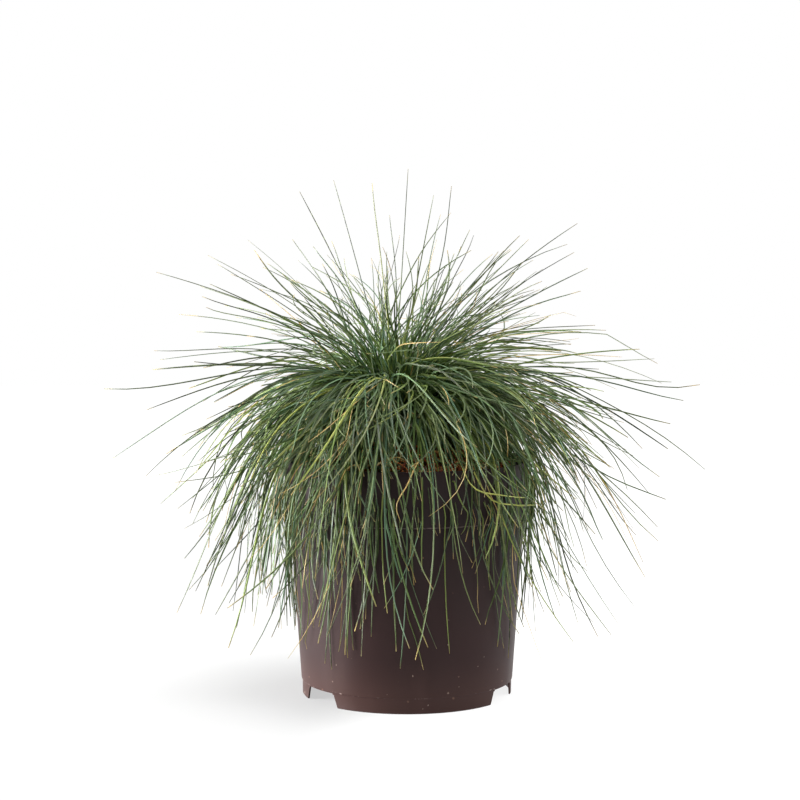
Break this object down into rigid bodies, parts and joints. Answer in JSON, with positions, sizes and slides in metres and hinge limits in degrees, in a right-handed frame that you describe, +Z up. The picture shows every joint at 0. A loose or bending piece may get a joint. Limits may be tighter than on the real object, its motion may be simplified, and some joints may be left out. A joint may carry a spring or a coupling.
{
  "type": "potted blue fescue clump",
  "caption": "Fine-leaved ornamental grass clump in a round plastic nursery pot, with root ball, leaf litter, crown and arching leaf tufts.",
  "frame": {"origin": "on the pot's axis, at the level of the surface that the pot stands on, which is the bottom centre of the whole plant's box", "axes": "+Z up along the pot's axis; -Y towards the front, where the middle of one foot faces the viewer; +X to the viewer's right"},
  "size_m": [0.4415, 0.4416, 0.412],
  "materials": {
    "pot_plastic": "satin brown-black injection-moulded plastic with a little dust and soil",
    "substrate": "crumbly moist peat and bark",
    "dry_litter": "dry rusty-brown sheaths and fibres",
    "crown_sheath": "dense pale green and straw-coloured leaf sheaths",
    "leaf_blade": "waxy blue-green thread-like leaves with dry tan tips"
  },
  "bodies": {
    "root": {"pot": "pot_plastic", "root_ball": "substrate", "leaf_litter": "dry_litter", "crown": "crown_sheath", "crest_tuft_01": "leaf_blade", "upright_tuft_01": "leaf_blade", "upright_tuft_02": "leaf_blade", "upright_tuft_03": "leaf_blade", "upright_tuft_04": "leaf_blade", "upper_tuft_01": "leaf_blade", "upper_tuft_02": "leaf_blade", "upper_tuft_03": "leaf_blade", "upper_tuft_04": "leaf_blade", "upper_tuft_05": "leaf_blade", "upper_tuft_06": "leaf_blade", "upper_tuft_07": "leaf_blade", "shoulder_tuft_01": "leaf_blade", "shoulder_tuft_02": "leaf_blade", "shoulder_tuft_03": "leaf_blade", "shoulder_tuft_04": "leaf_blade", "shoulder_tuft_05": "leaf_blade", "shoulder_tuft_06": "leaf_blade", "shoulder_tuft_07": "leaf_blade", "shoulder_tuft_08": "leaf_blade", "shoulder_tuft_09": "leaf_blade", "shoulder_tuft_10": "leaf_blade", "side_tuft_01": "leaf_blade", "side_tuft_02": "leaf_blade", "side_tuft_03": "leaf_blade", "side_tuft_04": "leaf_blade", "side_tuft_05": "leaf_blade", "side_tuft_06": "leaf_blade", "side_tuft_07": "leaf_blade", "side_tuft_08": "leaf_blade", "side_tuft_09": "leaf_blade", "side_tuft_10": "leaf_blade", "side_tuft_11": "leaf_blade", "side_tuft_12": "leaf_blade", "drooping_tuft_01": "leaf_blade", "drooping_tuft_02": "leaf_blade", "drooping_tuft_03": "leaf_blade", "drooping_tuft_04": "leaf_blade", "drooping_tuft_05": "leaf_blade", "drooping_tuft_06": "leaf_blade", "drooping_tuft_07": "leaf_blade", "drooping_tuft_08": "leaf_blade", "drooping_tuft_09": "leaf_blade", "drooping_tuft_10": "leaf_blade", "hanging_tuft_01": "leaf_blade", "hanging_tuft_02": "leaf_blade", "hanging_tuft_03": "leaf_blade", "hanging_tuft_04": "leaf_blade", "hanging_tuft_05": "leaf_blade", "hanging_tuft_06": "leaf_blade", "hanging_tuft_07": "leaf_blade", "hanging_tuft_08": "leaf_blade"}
  },
  "joints": []
}
